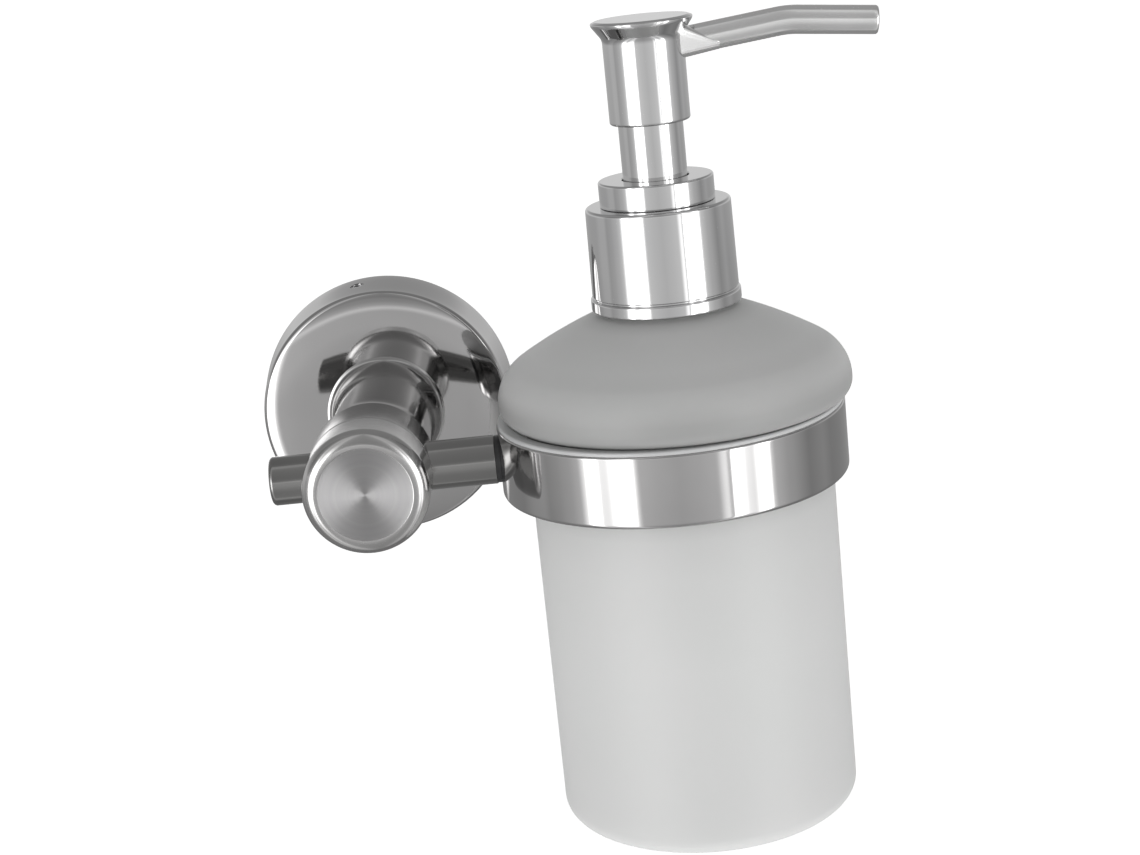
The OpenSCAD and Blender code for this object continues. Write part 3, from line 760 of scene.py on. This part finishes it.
# brightness by height: in front of the object, and on the wall side
front = w.ramp(height, [
    (0, 0.60), (0.278, 0.7), (0.361, 0.85), (0.389, 0.95), (0.411, 1.0), (0.444, 1.04), (0.467, 1.12),
    (0.517, 1.1),
    (0.530, 1.7), (0.542, 1.05), (0.56, 0.76), (0.60, 0.60), (0.667, 0.60), (1, 0.7)])
behind = w.ramp(height, [
    (0, 0.40), (0.36, 0.42), (0.42, 0.50), (0.47, 0.85), (0.5, 1.05), (0.55, 1.05), (0.58, 0.78),
    (0.60, 0.70), (0.66, 0.50), (1, 0.50)])
far = w.ramp(w.math("ABSOLUTE", w.math("MULTIPLY_ADD", turn, 2.0, -1.0)), [(0.45, 0.0), (0.68, 1.0)])
tall = w.math("ADD", front, w.math("MULTIPLY", far, w.math("SUBTRACT", behind, front)))
lit = w.ramp(height, [
    (0, 0.0), (0.30, 0.15), (0.40, 0.85), (0.44, 1.0), (0.56, 1.0), (0.64, 0.3), (0.72, 0.08), (1, 0.02)])
base = w.math("MULTIPLY", room, tall)
glow = w.math("MULTIPLY", w.math("MULTIPLY", lamps, lit), 4.0)
studio = w.math("ADD", base, glow)
# what matt surfaces receive: light from below and from the floor, little from above
soft = w.ramp(height, [
    (0, 1.12), (0.47, 0.98), (0.53, 0.66), (0.60, 0.40), (0.8, 0.31), (1, 0.30)])
w_path = w.add("ShaderNodeLightPath")
seen = w.math("ADD", w.math("MULTIPLY", studio, w.math("SUBTRACT", 1.0, w_path.outputs["Is Diffuse Ray"])),
              w.math("MULTIPLY", soft, w_path.outputs["Is Diffuse Ray"]))
total = w.math("MAXIMUM", seen, w_path.outputs["Is Camera Ray"])
wt.links.new(total, w_bg.inputs["Color"])
w_bg.inputs["Strength"].default_value = 1.0


def area(name, loc, target, wide, high, power):
    """A soft rectangular light that shines at target and is not mirrored."""
    d = bpy.data.lights.new(name, "AREA")
    d.shape = "RECTANGLE"
    d.size, d.size_y, d.energy = wide, high, power
    o = bpy.data.objects.new(name, d)
    o.location = loc
    o.rotation_euler = (Vector(target) - Vector(loc)).to_track_quat("-Z", "Y").to_euler()
    o.visible_glossy = False
    o.visible_camera = False
    bpy.context.scene.collection.objects.link(o)


area("front_soft", (0.05, -1.9, 0.25), (0.05, -0.06, -0.02), 1.6, 1.2, 3)
world.cycles.sampling_method = "NONE"

# ---------------------------------------------------------------- camera

cam = bpy.data.cameras.new("camera")
cam.sensor_fit = "HORIZONTAL"
cam.sensor_width = 36
cam.lens = 69.5052632
cam.clip_start = 0.01
cam_obj = bpy.data.objects.new("camera", cam)
bpy.context.scene.collection.objects.link(cam_obj)
yaw, pitch, roll = math.radians(-0.81), math.radians(15.23), math.radians(5.98)
f = Vector((math.sin(yaw) * math.cos(pitch), math.cos(yaw) * math.cos(pitch), -math.sin(pitch)))
r = Vector((math.cos(yaw), -math.sin(yaw), 0))
u = r.cross(f)
r2 = math.cos(roll) * r - math.sin(roll) * u
u2 = math.sin(roll) * r + math.cos(roll) * u
cam_obj.matrix_world = Matrix.Translation((0.04876, -0.50704, 0.1261)) @ Matrix((
    (r2.x, u2.x, -f.x), (r2.y, u2.y, -f.y), (r2.z, u2.z, -f.z))).to_4x4()
bpy.context.scene.camera = cam_obj
bpy.context.scene.view_settings.view_transform = "Standard"
